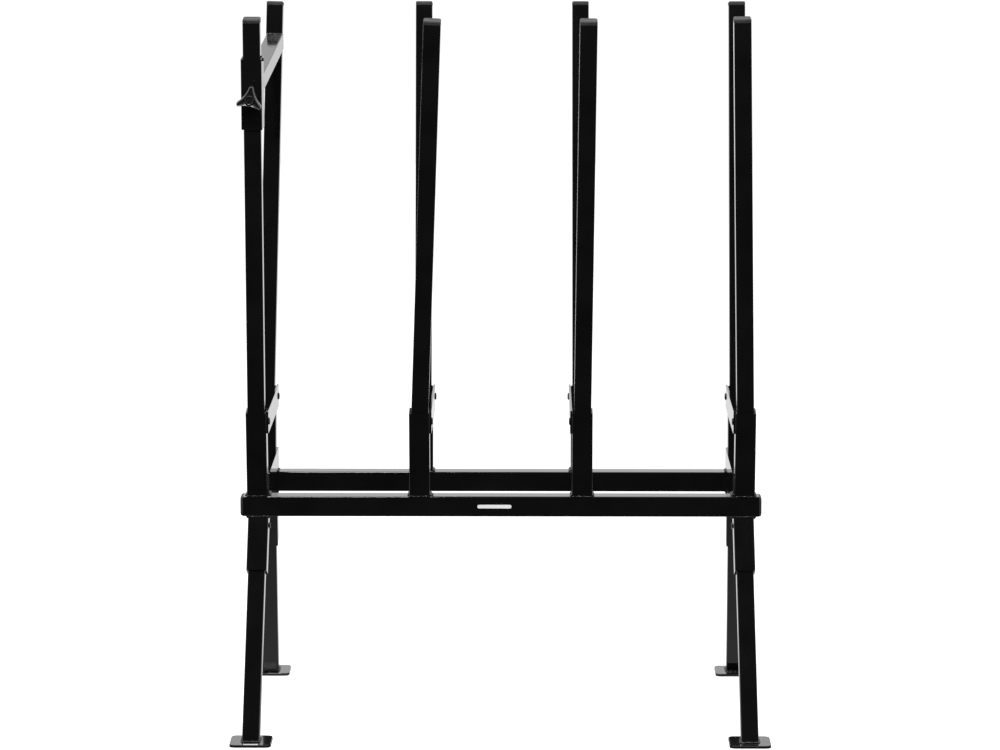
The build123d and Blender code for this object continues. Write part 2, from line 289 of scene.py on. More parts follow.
def footprint(node, height):
    """The corners of the rectangle that a node fills in a level plane."""
    on_plane = [v.co for v in NODES[node].data.vertices if abs(v.co.z - height) < ON_PLANE]
    xs = [co.x for co in on_plane]
    ys = [co.y for co in on_plane]
    return min(xs), max(xs), min(ys), max(ys)


def middle(node):
    low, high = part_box(node)
    return (low + high) / 2


# ---------------------------------------------------------------- meshes


def finished_object(name, mesh, material, body, slot, *replaced):
    """An object in the scene that rides on a body and stands for the nodes it replaces."""
    if not mesh.materials:
        mesh.materials.append(material)
    piece = bpy.data.objects.new(name, mesh)
    bpy.context.scene.collection.objects.link(piece)
    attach(piece, body)
    if replaced:
        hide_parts(*replaced)
    return piece


def ring_shell(name, rings, place, looped=False, smooth_below=radians(38)):
    """A closed mesh through rings of equal length, capped at both ends or joined end to end."""
    shell = bmesh.new()
    layers = [[shell.verts.new(place @ Vector(point)) for point in ring] for ring in rings]
    count = len(rings[0])
    pairs = list(zip(layers, layers[1:]))
    if looped:
        pairs.append((layers[-1], layers[0]))
    else:
        shell.faces.new(layers[0][::-1])
        shell.faces.new(layers[-1])
    for lower, upper in pairs:
        for i in range(count):
            j = (i + 1) % count
            shell.faces.new((lower[i], lower[j], upper[j], upper[i]))
    bmesh.ops.recalc_face_normals(shell, faces=shell.faces)
    for edge in shell.edges:
        edge.smooth = edge.calc_face_angle(0.0) < smooth_below
    for face in shell.faces:
        face.smooth = True
    mesh = bpy.data.meshes.new(name)
    shell.to_mesh(mesh)
    shell.free()
    return mesh


def circle(radius, height, count):
    return [(radius * cos(tau * i / count), radius * sin(tau * i / count), height) for i in range(count)]


def hexagon_radius(angle, flats):
    """From the middle of a hexagon to its edge, in a given direction."""
    return flats / 2 / cos((angle + pi / 6) % (pi / 3) - pi / 6)


def hexagon(flats, height, count, limit=None):
    """A hexagon with as many points as the circles beside it, cut off at a largest radius."""
    ring = []
    for i in range(count):
        angle = tau * i / count
        radius = hexagon_radius(angle, flats)
        if limit:
            radius = min(radius, limit)
        ring.append((radius * cos(angle), radius * sin(angle), height))
    return ring


def rounded_square(half, corner, height, per_corner=6):
    """A square with rounded corners, level at a height."""
    ring = []
    for quarter in range(4):
        start = quarter * pi / 2
        centre = Vector((half - corner, half - corner)) if corner < half else Vector((0, 0))
        turn = Matrix.Rotation(start, 2)
        middle_point = turn @ centre
        for step in range(per_corner + 1):
            angle = start + (pi / 2) * step / per_corner
            ring.append((middle_point.x + corner * cos(angle), middle_point.y + corner * sin(angle), height))
    return ring


def placed(origin, across, outward):
    """The turn and move that put local X across, local Z outward and the origin in place."""
    outward = Vector(outward).normalized()
    across = (Vector(across) - outward * Vector(across).dot(outward)).normalized()
    upward = outward.cross(across)
    turn = Matrix((across, upward, outward)).transposed().to_4x4()
    return Matrix.Translation(origin) @ turn


# ---------------------------------------------------------------- materials


class Nodes:
    """A material's node tree with the few calls that the finishes need."""

    def __init__(self, name):
        self.material = bpy.data.materials.new(name)
        self.material.use_nodes = True
        self.tree = self.material.node_tree
        self.shader = self.tree.nodes["Principled BSDF"]
        self.place = self.tree.nodes.new("ShaderNodeTexCoord").outputs["Object"]

    def new(self, kind, **inputs):
        node = self.tree.nodes.new(kind)
        for name, value in inputs.items():
            self.set(node.inputs[name.replace("_", " ")], value)
        return node

    def set(self, socket, value):
        if isinstance(value, bpy.types.NodeSocket):
            self.tree.links.new(value, socket)
        else:
            socket.default_value = value

    def noise(self, wavelength, detail=2.0, roughness=0.5):
        """A noise over the object's own coordinates, with features about a wavelength apart."""
        node = self.new("ShaderNodeTexNoise", Vector=self.place, Scale=1 / wavelength)
        node.inputs["Detail"].default_value = detail
        node.inputs["Roughness"].default_value = roughness
        return node.outputs["Fac"]

    def spread(self, source, low, high, from_low=0.3, from_high=0.7):
        """A source stretched to run from low to high."""
        node = self.new("ShaderNodeMapRange", Value=source)
        limits = {"From Min": from_low, "From Max": from_high, "To Min": low, "To Max": high}
        for name, value in limits.items():
            node.inputs[name].default_value = value
        return node.outputs["Result"]

    def tint(self, source, dark, light):
        """A source turned into a colour between dark and light."""
        ramp = self.new("ShaderNodeValToRGB", Fac=source)
        ramp.color_ramp.elements[0].position = 0.3
        ramp.color_ramp.elements[1].position = 0.7
        ramp.color_ramp.elements[0].color = dark
        ramp.color_ramp.elements[1].color = light
        return ramp.outputs["Color"]

    def bump(self, height, depth, strength=1.0, under=None):
        node = self.new("ShaderNodeBump", Height=height)
        node.inputs["Strength"].default_value = strength
        node.inputs["Distance"].default_value = depth
        if under:
            self.set(node.inputs["Normal"], under)
        return node.outputs["Normal"]

    def finish(self, **inputs):
        for name, value in inputs.items():
            self.set(self.shader.inputs[name.replace("_", " ")], value)
        return self.material


def shade(color, factor):
    return (color[0] * factor, color[1] * factor, color[2] * factor, 1.0)


def powder_coat(name, finish, roughness, ripple_depth):
    """Gloss powder coat: near black, with the faint ripple of cured powder and slow changes of gloss."""
    nodes = Nodes(name)
    color = tuple(finish.coat_color)
    film = nodes.noise(0.060, detail=3.0)
    peel = nodes.noise(finish.orange_peel, detail=1.0, roughness=0.4)
    sag = nodes.noise(finish.orange_peel * 9, detail=1.0)
    nib = nodes.noise(finish.orange_peel * 0.45, detail=0.0)
    rippled = nodes.bump(peel, ripple_depth, 0.9)
    flowed = nodes.bump(sag, ripple_depth * 3, 0.8, rippled)
    return nodes.finish(
        Base_Color=nodes.tint(film, shade(color, 0.75), shade(color, 1.35)),
        Roughness=nodes.spread(nib, roughness * 0.85, roughness * 1.25),
        Normal=flowed,
        IOR=1.5,
    )


def moulded_plastic(name, color, roughness, grain, grain_depth, gloss):
    """Moulded plastic: fine spark-eroded grain, with a slow change in how much it shines."""
    nodes = Nodes(name)
    flow = nodes.noise(0.012, detail=3.0)
    texture = nodes.noise(grain, detail=2.0, roughness=0.6)
    return nodes.finish(
        Base_Color=nodes.tint(flow, shade(color, 0.8), shade(color, 1.3)),
        Roughness=nodes.spread(texture, roughness * 0.85, roughness * 1.2),
        Normal=nodes.bump(texture, grain_depth),
        Specular_IOR_Level=gloss,
        IOR=1.48,
    )


def metal(name, cloud_size, dark, light, metallic, roughness, grain, grain_depth):
    """Bare or plated metal, clouded in colour and gloss, with a fine grain."""
    nodes = Nodes(name)
    cloud = nodes.noise(cloud_size, detail=4.0)
    fine = nodes.noise(grain, detail=2.0)
    return nodes.finish(
        Base_Color=nodes.tint(cloud, dark, light),
        Metallic=metallic,
        Roughness=nodes.spread(cloud, *roughness),
        Normal=nodes.bump(fine, grain_depth),
    )


def screen_ink(name, finish):
    """Screen-printed ink, slightly thin in places."""
    nodes = Nodes(name)
    color = tuple(finish.mark_color)
    thin = nodes.noise(0.0015, detail=3.0)
    return nodes.finish(
        Base_Color=nodes.tint(thin, shade(color, 0.93), shade(color, 1.0)),
        Roughness=nodes.spread(thin, 0.35, 0.5),
        Normal=nodes.bump(thin, 0.00003),
    )


def finishes(scene):
    """Every finish by name, made once."""
    finish = scene.sawhorse_finish
    makers = {
        "Powder coat": lambda name: powder_coat(name, finish, finish.coat_roughness, COAT_RIPPLE),
        "Coated weld": lambda name: powder_coat(
            name, finish, finish.coat_roughness * WELD_DULLER, WELD_RIPPLE
        ),
        "Cap plastic": lambda name: moulded_plastic(name, tuple(finish.cap_color), *CAP_FINISH),
        "Knob plastic": lambda name: moulded_plastic(name, tuple(finish.knob_color), *KNOB_FINISH),
        "Black oxide": lambda name: metal(name, *BLACK_OXIDE),
        "Zinc plate": lambda name: metal(name, *ZINC_PLATE),
        "Screen ink": lambda name: screen_ink(name, finish),
    }
    for name, make in makers.items():
        if name not in bpy.data.materials:
            make(name)
    return {name: bpy.data.materials[name] for name in makers}


# ---------------------------------------------------------------- weld beads


def geometry_tree(name, shape_in, numbers, shape_out):
    """A node tree that takes a shape, named numbers and a finish, and gives a shape."""
    tree = bpy.data.node_groups.new(name, "GeometryNodeTree")
    face = tree.interface
    face.new_socket(shape_in, in_out="INPUT", socket_type="NodeSocketGeometry")
    for label, default in numbers.items():
        kind = "NodeSocketInt" if isinstance(default, int) else "NodeSocketFloat"
        face.new_socket(label, in_out="INPUT", socket_type=kind).default_value = default
    face.new_socket("Finish", in_out="INPUT", socket_type="NodeSocketMaterial")
    face.new_socket(shape_out, in_out="OUTPUT", socket_type="NodeSocketGeometry")
    return tree


def send_out(tree, shape, finish):
    """Make a shape's instances real, give it its finish and end the tree with it."""
    solid = tree.nodes.new("GeometryNodeRealizeInstances")
    tree.links.new(shape, solid.inputs["Geometry"])
    coated = tree.nodes.new("GeometryNodeSetMaterial")
    tree.links.new(solid.outputs["Geometry"], coated.inputs["Geometry"])
    tree.links.new(finish, coated.inputs["Material"])
    tree.links.new(coated.outputs["Geometry"], tree.nodes.new("NodeGroupOutput").inputs[0])


def bead_tree():
    """A node tree that runs a rippled weld bead along every edge path of a mesh."""
    numbers = {
        "Ripple pitch": 0.002,
        "Ripple depth": 0.1,
        "Unevenness": 0.5,
        "Profile sides": 10,
        "Seed": 1.0,
    }
    tree = geometry_tree("Weld bead", "Paths", numbers, "Beads")

    def new(kind, **settings):
        node = tree.nodes.new(kind)
        for name, value in settings.items():
            setattr(node, name, value)
        return node

    def math(operation, first, second):
        node = new("ShaderNodeMath", operation=operation)
        for socket, value in zip(node.inputs, (first, second)):
            if isinstance(value, bpy.types.NodeSocket):
                tree.links.new(value, socket)
            elif value is not None:
                socket.default_value = value
        return node.outputs[0]

    def link(source, target):
        tree.links.new(source, target)

    entry = new("NodeGroupInput").outputs
    curve = new("GeometryNodeMeshToCurve")
    link(entry["Paths"], curve.inputs["Mesh"])
    even = new("GeometryNodeResampleCurve", mode="LENGTH")
    link(curve.outputs["Curve"], even.inputs["Curve"])
    link(math("DIVIDE", entry["Ripple pitch"], 4.0), even.inputs["Length"])

    along = new("GeometryNodeSplineParameter").outputs["Length"]
    turns = math("MULTIPLY", math("DIVIDE", along, entry["Ripple pitch"]), tau)
    ripple = math("MULTIPLY", math("SINE", turns, None), entry["Ripple depth"])
    wander = new("ShaderNodeTexNoise", noise_dimensions="4D")
    link(new("GeometryNodeInputPosition").outputs["Position"], wander.inputs["Vector"])
    link(entry["Seed"], wander.inputs["W"])
    wander.inputs["Scale"].default_value = 150.0
    wander.inputs["Detail"].default_value = 2.0
    drift = math("MULTIPLY", math("SUBTRACT", wander.outputs["Fac"], 0.5), entry["Unevenness"])
    wanted = new("GeometryNodeInputNamedAttribute", data_type="FLOAT")
    wanted.inputs["Name"].default_value = "bead_radius"
    swing = math("ADD", math("ADD", ripple, drift), 1.0)
    size = math("MULTIPLY", wanted.outputs["Attribute"], swing)

    section = new("GeometryNodeCurvePrimitiveCircle", mode="RADIUS")
    section.inputs["Radius"].default_value = 1.0
    link(entry["Profile sides"], section.inputs["Resolution"])
    swept = new("GeometryNodeCurveToMesh")
    link(even.outputs["Curve"], swept.inputs["Curve"])
    link(section.outputs["Curve"], swept.inputs["Profile Curve"])
    link(size, swept.inputs["Scale"])
    swept.inputs["Fill Caps"].default_value = True
    soft = new("GeometryNodeSetShadeSmooth")
    link(swept.outputs["Mesh"], soft.inputs["Geometry"])
    send_out(tree, soft.outputs["Geometry"], entry["Finish"])
    return tree


def grown(name, mesh, tree, **inputs):
    """The plain mesh that a node tree grows from another mesh."""
    source = bpy.data.objects.new(name, mesh)
    bpy.context.scene.collection.objects.link(source)
    modifier = source.modifiers.new("Grow", "NODES")
    modifier.node_group = tree
    for item in tree.interface.items_tree:
        key = item.name.replace(" ", "_")
        if item.item_type == "SOCKET" and item.in_out == "INPUT" and key in inputs:
            modifier[item.identifier] = inputs[key]
    evaluated = source.evaluated_get(bpy.context.evaluated_depsgraph_get())
    result = bpy.data.meshes.new_from_object(evaluated)
    result.name = name
    source.modifiers.remove(modifier)
    bpy.data.objects.remove(source)
    return result


def bead_paths(name, paths):
    """A mesh of edges with the bead's radius on each vertex. A path is (points, radius, closed)."""
    edges = bmesh.new()
    layer = edges.verts.layers.float.new("bead_radius")
    for points, radius, closed in paths:
        vertices = [edges.verts.new(point) for point in points]
        for vertex in vertices:
            vertex[layer] = radius
        for first, second in zip(vertices, vertices[1:]):
            edges.edges.new((first, second))
        if closed:
            edges.edges.new((vertices[-1], vertices[0]))
    mesh = bpy.data.meshes.new(name)
    edges.to_mesh(mesh)
    edges.free()
    return mesh


def tube_joint_paths(node, height, welds, flush):
    """Beads around a tube that stands on, or hangs from, a level face."""
    low_x, high_x, low_y, high_y = footprint(node, height)
    if not flush:
        corners = [(low_x, low_y), (high_x, low_y), (high_x, high_y), (low_x, high_y)]
        cut = welds.foot
        ring = []
        for i, (x, y) in enumerate(corners):
            before = Vector(corners[i - 1])
            after = Vector(corners[(i + 1) % 4])
            here = Vector((x, y))
            ring.append(here + (before - here).normalized() * cut)
            ring.append(here + (after - here).normalized() * cut)
        return [([(*point, height) for point in ring], welds.foot, True)]
    paths = []
    inset = welds.fillet * 0.4
    for x in (low_x, high_x):
        points = [(x, low_y + inset, height), (x, (low_y + high_y) / 2, height), (x, high_y - inset, height)]
        paths.append((points, welds.fillet, False))
    for y in (low_y, high_y):
        sunk = (welds.seam * 0.35) * (1 if y == low_y else -1)
        paths.append(([(low_x, y + sunk, height), (high_x, y + sunk, height)], welds.seam, False))
    return paths


def frame_bead_paths(welds):
    paths = []
    for side in SIDES:
        for station in STATIONS:
            node = f"socket_{side}_{station}"
            paths += tube_joint_paths(node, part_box(node)[0].z, welds, flush=True)
        for end in ENDS:
            sleeve = f"leg_sleeve_{side}_{end}"
            paths += tube_joint_paths(sleeve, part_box(sleeve)[1].z, welds, flush=True)
            leg = f"leg_{side}_{end}"
            paths += tube_joint_paths(leg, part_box(leg)[0].z, welds, flush=False)
    for end, sign in ENDS.items():
        low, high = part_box(f"lower_tie_{end}")
        near = low.x if sign > 0 else high.x
        far = high.x if sign > 0 else low.x
        for y, into in ((low.y, 1), (high.y, -1)):
            run = (far, y, low.z + welds.fillet), (far, y + into * 0.0006, high.z - welds.fillet)
            paths.append((list(run), welds.fillet * 0.95, False))
            foot = (near, y + into * welds.fillet, low.z), (near, y + into * 0.028, low.z)
            paths.append((list(foot), welds.fillet * 0.8, False))
    return paths


def hold_down_bead_paths(welds):
    outward = facing("hold_down_sleeve", SLEEVE_BACK)
    across = facing("hold_down_sleeve", X_AXIS)
    upward = across.cross(outward)
    low_x, high_x = reach("hold_down_arm", across)
    plane = reach("hold_down_sleeve", outward)[1]
    near = [v.co for v in NODES["hold_down_arm"].data.vertices if v.co.dot(outward) < plane + ON_PLANE]
    heights = [co.dot(upward) for co in near]
    widths = [co.dot(across) for co in near]
    sides = (min(widths), max(widths)), (min(heights), max(heights))
    cut = welds.fillet
    ring = []
    for x, y, dx, dy in ((0, 0, 1, 1), (1, 0, -1, 1), (1, 1, -1, -1), (0, 1, 1, -1)):
        along_x = across * (sides[0][x] + dx * cut) + upward * sides[1][y]
        along_y = across * sides[0][x] + upward * (sides[1][y] + dy * cut)
        pair = [along_y, along_x] if x == y else [along_x, along_y]
        ring += [point + outward * plane for point in pair]
    joint = frame_joint("knob_turn")
    axis = Vector(joint["axis"]).normalized()
    front = reach("hold_down_sleeve", axis)[1]
    centre = Vector(joint["pos_m"])
    centre += axis * (front - centre.dot(axis))
    turn = placed(centre, X_AXIS, axis)
    nut_ring = [turn @ Vector(point) for point in circle(0.0071, 0.0, 24)]
    up = facing("hold_down_sleeve", SLEEVE_TOP)
    top = reach("hold_down_sleeve", up)[1]
    right = reach("hold_down_sleeve", across)[1]
    depth = across.cross(up)
    spot = across * right + up * top + depth * middle("hold_down_sleeve").dot(depth)
    drip = [spot - up * 0.005, spot + up * 0.0002]
    return [(ring, welds.fillet, True), (nut_ring, welds.seam * 1.2, True), (drip, welds.fillet * 0.7, False)]


def frame_joint(name):
    for joint in frame["joints"]:
        if joint["name"] == name:
            return joint
    raise RuntimeError(f"the packed model has no joint named {name}")


# ---------------------------------------------------------------- operators


class SAWHORSE_OT_coat_steel(bpy.types.Operator):
    """Give every steel tube, bar and plate its powder coat"""

    bl_idname = "sawhorse.coat_steel"
    bl_label = "Coat the steel"

    def execute(self, context):
        made = finishes(context.scene)
        by_slot = {
            "powder_coat": "Powder coat",
            "cap_plastic": "Cap plastic",
            "fastener_steel": "Black oxide",
            "zinc_steel": "Zinc plate",
            "knob_plastic": "Knob plastic",
        }
        for part in frame["record"]["subparts"]:
            mesh_object = NODES[part["node"]]
            mesh_object.data.materials.clear()
            mesh_object.data.materials.append(made[by_slot[part["material_slot"]]])
        return {"FINISHED"}


class SAWHORSE_OT_lay_welds(bpy.types.Operator):
    """Run the weld beads along the joints of the frame and of the hold-down"""

    bl_idname = "sawhorse.lay_welds"
    bl_label = "Lay the weld beads"

    def execute(self, context):
        welds = context.scene.sawhorse_welds
        coat = finishes(context.scene)["Coated weld"]
        tree = bead_tree()
        sets = (
            ("weld_beads_frame", frame_bead_paths(welds), FRAME_BODY, 3.0),
            ("weld_beads_hold_down", hold_down_bead_paths(welds), HOLD_BODY, 7.0),
        )
        for name, paths, body, seed in sets:
            mesh = grown(
                name,
                bead_paths(name, paths),
                tree,
                Ripple_pitch=welds.pitch,
                Ripple_depth=welds.depth,
                Unevenness=welds.unevenness,
                Profile_sides=welds.profile_sides,
                Seed=seed,
                Finish=coat,
            )
            finished_object(name, mesh, coat, body, "powder_coat")
        return {"FINISHED"}


def threaded_rings(radius, pitch, low, high, count, depth):
    """Rings up a rod whose radius follows a single-start thread."""
    steps = max(2, round((high - low) / pitch * 4))
    rings = []
    for step in range(steps + 1):
        z = low + (high - low) * step / steps
        ring = []
        for i in range(count):
            angle = tau * i / count
            phase = (z / pitch - i / count) % 1.0
            r = radius - depth * abs(2 * phase - 1)
            ring.append((r * cos(angle), r * sin(angle), z))
        rings.append(ring)
    return rings


def low_head_bolt(name, fasteners, shank, place, count=36):
    """A low-head bolt with a hexagon socket. Its head stands on local Z and its shank hangs below."""
    head = fasteners.head_height
    radius = fasteners.head_radius
    crown = fasteners.key_flats * 0.66
    rings = [circle(fasteners.shank_radius * 0.8, -shank, count)]
    rings += threaded_rings(
        fasteners.shank_radius, fasteners.thread_pitch, -shank + 0.0004, -shank + 0.009, count, 0.0004
    )
    rings.append(circle(fasteners.shank_radius, -shank + 0.0095, count))
    rings.append(circle(fasteners.shank_radius, 0.0, count))
    rings.append(circle(radius * 0.96, 0.0, count))
    rings.append(circle(radius, head * 0.08, count))
    for step in range(6):
        angle = radians(10 + 62 * step / 5)
        across = crown + (radius - crown) * cos(angle) ** 0.8
        up = head * (0.12 + 0.88 * sin(angle) / sin(radians(72)))
        rings.append(circle(across, up, count))
    rings.append(hexagon(fasteners.key_flats * 1.08, head, count))
    rings.append(hexagon(fasteners.key_flats, head - 0.0002, count))
    rings.append(hexagon(fasteners.key_flats, head - fasteners.key_depth, count))
    rings.append(circle(fasteners.key_flats * 0.2, head - fasteners.key_depth * 1.15, count))
    return ring_shell(name, rings, place)


def hexagon_nut(name, flats, hole, low, high, place, count=36):
    """A hexagon nut with the corners turned off at both faces."""
    edge = (high - low) * 0.1
    turned = flats / 2 * 0.97
    rings = [
        circle(hole, low, count),
        circle(turned, low, count),
        hexagon(flats, low + edge, count, limit=flats / 2 * 1.10),
        hexagon(flats, low + edge * 2.2, count),
        hexagon(flats, high - edge * 2.2, count),
        hexagon(flats, high - edge, count, limit=flats / 2 * 1.10),
        circle(turned, high, count),
        circle(hole * 1.12, high, count),
        circle(hole, high - edge, count),
    ]
    return ring_shell(name, rings, place, looped=True)


def fastener_tree(prototype):
    """A node tree that sets one fastener on every vertex, turned by the vertex's own direction."""
    tree = geometry_tree("Fastener row", "Places", {"Size": 1.0}, "Fasteners")
    link = tree.links.new
    entry = tree.nodes.new("NodeGroupInput").outputs
    outward = tree.nodes.new("GeometryNodeInputNamedAttribute")
    outward.data_type = "FLOAT_VECTOR"
    outward.inputs["Name"].default_value = "outward"
    key_turn = tree.nodes.new("GeometryNodeInputNamedAttribute")
    key_turn.data_type = "FLOAT_VECTOR"
    key_turn.inputs["Name"].default_value = "key_turn"
    turn = tree.nodes.new("FunctionNodeAxesToRotation")
    turn.primary_axis = "Z"
    turn.secondary_axis = "X"
    link(outward.outputs["Attribute"], turn.inputs["Primary Axis"])
    link(key_turn.outputs["Attribute"], turn.inputs["Secondary Axis"])
    source = tree.nodes.new("GeometryNodeObjectInfo")
    source.inputs["Object"].default_value = prototype
    rows = tree.nodes.new("GeometryNodeInstanceOnPoints")
    link(entry["Places"], rows.inputs["Points"])
    link(source.outputs["Geometry"], rows.inputs["Instance"])
    link(turn.outputs["Rotation"], rows.inputs["Rotation"])
    link(entry["Size"], rows.inputs["Scale"])
    send_out(tree, rows.outputs["Instances"], entry["Finish"])
    return tree


def fastener_places(name, places):
    """A mesh of loose vertices with the way each fastener looks and how far its flats are turned."""
    points = bmesh.new()
    outward_layer = points.verts.layers.float_vector.new("outward")
    turn_layer = points.verts.layers.float_vector.new("key_turn")
    for i, (place, outward) in enumerate(places):
        vertex = points.verts.new(place)
        vertex[outward_layer] = outward
        angle = 0.37 + 1.9 * i
        vertex[turn_layer] = Vector((0, cos(angle), sin(angle)))
    mesh = bpy.data.meshes.new(name)
    points.to_mesh(mesh)
    points.free()
    return mesh


def fastener_row(name, prototype_mesh, places, material, slot, replaced):
    prototype = bpy.data.objects.new(f"{name}_pattern", prototype_mesh)
    bpy.context.scene.collection.objects.link(prototype)
    tree = fastener_tree(prototype)
    mesh = grown(name, fastener_places(name, places), tree, Size=1.0, Finish=material)
    bpy.data.node_groups.remove(tree)
    bpy.data.objects.remove(prototype)
    return finished_object(name, mesh, material, FRAME_BODY, slot, replaced)


def bolt_centres(bolts, columns, fasteners):
    """Where bolts cross their tubes: one at the front and one at the rear of every column."""
    low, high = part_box(bolts)
    level = (low.z + high.z) / 2
    rows = low.y + fasteners.head_radius, high.y - fasteners.head_radius
    return [(x, y, level) for x in columns for y in rows]


class SAWHORSE_OT_fit_bolts(bpy.types.Operator):
    """Fit the bolts and nuts of the ties and of the legs"""

    bl_idname = "sawhorse.fit_bolts"
    bl_label = "Fit the bolts and nuts"

    def execute(self, context):
        fasteners = context.scene.sawhorse_fasteners
        oxide = finishes(context.scene)["Black oxide"]
        station_columns = [middle(f"socket_front_{station}").x for station in STATIONS]
        leg_columns = [sign * self.leg_column() for sign in ENDS.values()]
        for bolts, nuts, columns in (
            ("tie_bolts", "tie_nuts", station_columns),
            ("leg_bolts", "leg_nuts", leg_columns),
        ):
            last = max(columns)
            head_low, shank_high = span_at(bolts, last)
            nut_low, nut_high = span_at(nuts, last)
            head_seat = last - head_low - fasteners.head_height
            nut_seat = last - nut_high
            shank = shank_high - last + head_seat
            centres = bolt_centres(bolts, columns, fasteners)
            heads = []
            ends = []
            for x, y, z in centres:
                inward = -1 if x > 0 else 1
                heads.append(((x + inward * head_seat, y, z), (inward, 0, 0)))
                ends.append(((x + inward * nut_seat, y, z), (-inward, 0, 0)))
            bolt = low_head_bolt(f"{bolts}_one", fasteners, shank, Matrix.Identity(4))
            fastener_row(f"{bolts}_detailed", bolt, heads, oxide, "fastener_steel", bolts)
            height = nut_high - nut_low
            hole = fasteners.shank_radius * 0.98
            nut = hexagon_nut(f"{nuts}_one", fasteners.nut_flats, hole, -height, 0.0, Matrix.Identity(4))
            fastener_row(f"{nuts}_detailed", nut, ends, oxide, "fastener_steel", nuts)
        return {"FINISHED"}

    def leg_column(self):
        """The X of the legs' axes where they meet the rails."""
        low, high = footprint("leg_sleeve_front_right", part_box("leg_sleeve_front_right")[1].z)[:2]
        return (low + high) / 2


def span_at(node, column):
    """How far the fasteners of one column reach along X."""
    xs = [v.co.x for v in NODES[node].data.vertices if abs(v.co.x - column) < COLUMN_REACH]
    return min(xs), max(xs)


def cap_mesh(name, cap, tube, outward_hint, across_hint, caps, rim, corner):
    """A moulded end cap: a seam at the tube, a straight flange, a rounded rim and a sunken middle."""
    outward = facing(cap, outward_hint)
    across = facing(tube, across_hint)
    upward = outward.cross(across)
    base = reach(tube, outward)[1]
    top = reach(cap, outward)[1]
    low_x, high_x = reach(cap, across)
    low_y, high_y = reach(cap, upward)
    half = (high_x - low_x) / 2
    centre = across * (low_x + high_x) / 2 + upward * (low_y + high_y) / 2 + outward * base
    height = top - base
    profile = [
        (caps.groove * 3, -0.002),
        (caps.groove, 0.0),
        (caps.groove, 0.0003),
        (0.0, 0.0006),
    ]
    for step in range(6):
        angle = (pi / 2) * step / 5
        profile.append((rim * (1 - cos(angle)), height - rim + rim * sin(angle)))
    profile.append((caps.border - 0.0008, height))
    profile.append((caps.border, height - caps.sink * 0.6))
    profile.append((caps.border + 0.0006, height - caps.sink))
    profile.append((half * 0.75, height - caps.sink))
    rings = [rounded_square(half - inset, max(0.0006, corner - inset * 0.3), z) for inset, z in profile]
    return ring_shell(name, rings, placed(centre, across, outward))


class SAWHORSE_OT_fit_caps(bpy.types.Operator):
    """Fit the moulded end caps on the uprights, the rails and the hold-down arm"""

    bl_idname = "sawhorse.fit_caps"
    bl_label = "Fit the end caps"

    def execute(self, context):
        caps = context.scene.sawhorse_caps
        plastic = finishes(context.scene)["Cap plastic"]
        fits = []
        for side, toward in SIDES.items():
            way = (0, toward * OUTWARD_LEAN, 0.99)
            for station in STATIONS:
                cap, tube = f"upright_cap_{side}_{station}", f"upright_{side}_{station}"
                fits.append((cap, tube, way, X_AXIS, FRAME_BODY, caps.rim, caps.corner))
            for end, sign in ENDS.items():
                cap, tube = f"rail_cap_{side}_{end}", f"rail_{side}"
                fits.append((cap, tube, X_AXIS * sign, Y_AXIS, FRAME_BODY, caps.rail_rim, caps.rail_corner))
        fits.append(("arm_cap", "hold_down_arm", ARM_WAY, X_AXIS, HOLD_BODY, caps.rim, caps.corner))
        for cap, tube, outward, across, body, rim, corner in fits:
            mesh = cap_mesh(f"{cap}_moulded", cap, tube, outward, across, caps, rim, corner)
            finished_object(f"{cap}_moulded", mesh, plastic, body, "cap_plastic", cap)
        return {"FINISHED"}


def lobed_radius(angle, knob, inset):
    """From the knob's axis to its outline: round tips joined by hollow sides, moved in by an inset."""
    tip_centre = knob.lobe_reach - knob.tip_radius
    third = tau / 3
    off_lobe = abs((angle + third / 2) % third - third / 2)
    gap = knob.waist - knob.tip_radius
    hollow_centre = (tip_centre**2 - gap**2) / (tip_centre - 2 * gap)
    hollow_radius = hollow_centre - knob.waist
    to_hollow = Vector((hollow_centre * cos(third / 2), hollow_centre * sin(third / 2)))
    toward = (to_hollow - Vector((tip_centre, 0))).normalized()
    touch = Vector((tip_centre, 0)) + toward * (knob.tip_radius - inset)
    if off_lobe < atan2(touch.y, touch.x):
        tip = knob.tip_radius - inset
        return tip_centre * cos(off_lobe) + sqrt(max(0.0, tip**2 - (tip_centre * sin(off_lobe)) ** 2))
    off_hollow = third / 2 - off_lobe
    wide = hollow_radius + inset
    return hollow_centre * cos(off_hollow) - sqrt(wide**2 - (hollow_centre * sin(off_hollow)) ** 2)


def knob_mesh(knob, place, back):
    """The knob, with its face at the far end of local Z and its hub reaching back to the nut."""
    count = 144

    def outline(inset, z):
        ring = []
        for i in range(count):
            angle = tau * i / count
            radius = lobed_radius(angle - knob.first_lobe, knob, inset)
            ring.append((radius * cos(angle), radius * sin(angle), z))
        return ring

    face = knob.thickness
    hub = knob.hub_radius
    rings = [
        circle(knob.stud_radius * 1.02, -back, count),
        circle(hub * 1.08, -back, count),
        circle(hub * 1.12, -back + 0.0005, count),
        circle(hub * 1.12, -0.0001, count),
        outline(0.0014, 0.0),
        outline(0.0004, 0.0004),
        outline(0.0, 0.0014),
        outline(0.0, face * 0.5),
        outline(0.0, face - 0.0034),
        outline(0.0003, face - 0.0020),
        outline(0.0008, face - 0.0010),
        outline(0.0014, face - 0.0005),
        outline(0.0019, face - 0.0009),
        circle(hub * 1.06, face - 0.0022, count),
        circle(hub, face - 0.0014, count),
        circle(hub * 0.96, face - 0.0004, count),
        circle(hub * 0.88, face, count),
        circle(hub * 0.78, face - 0.0003, count),
        circle(hub * 0.70, face - 0.0012, count),
        circle(hub * 0.66, face - 0.0020, count),
        circle(hub * 0.40, face - 0.0016, count),
        circle(hub * 0.12, face - 0.0015, count),
    ]
    return ring_shell("clamp_knob_moulded", rings, place, smooth_below=radians(50))


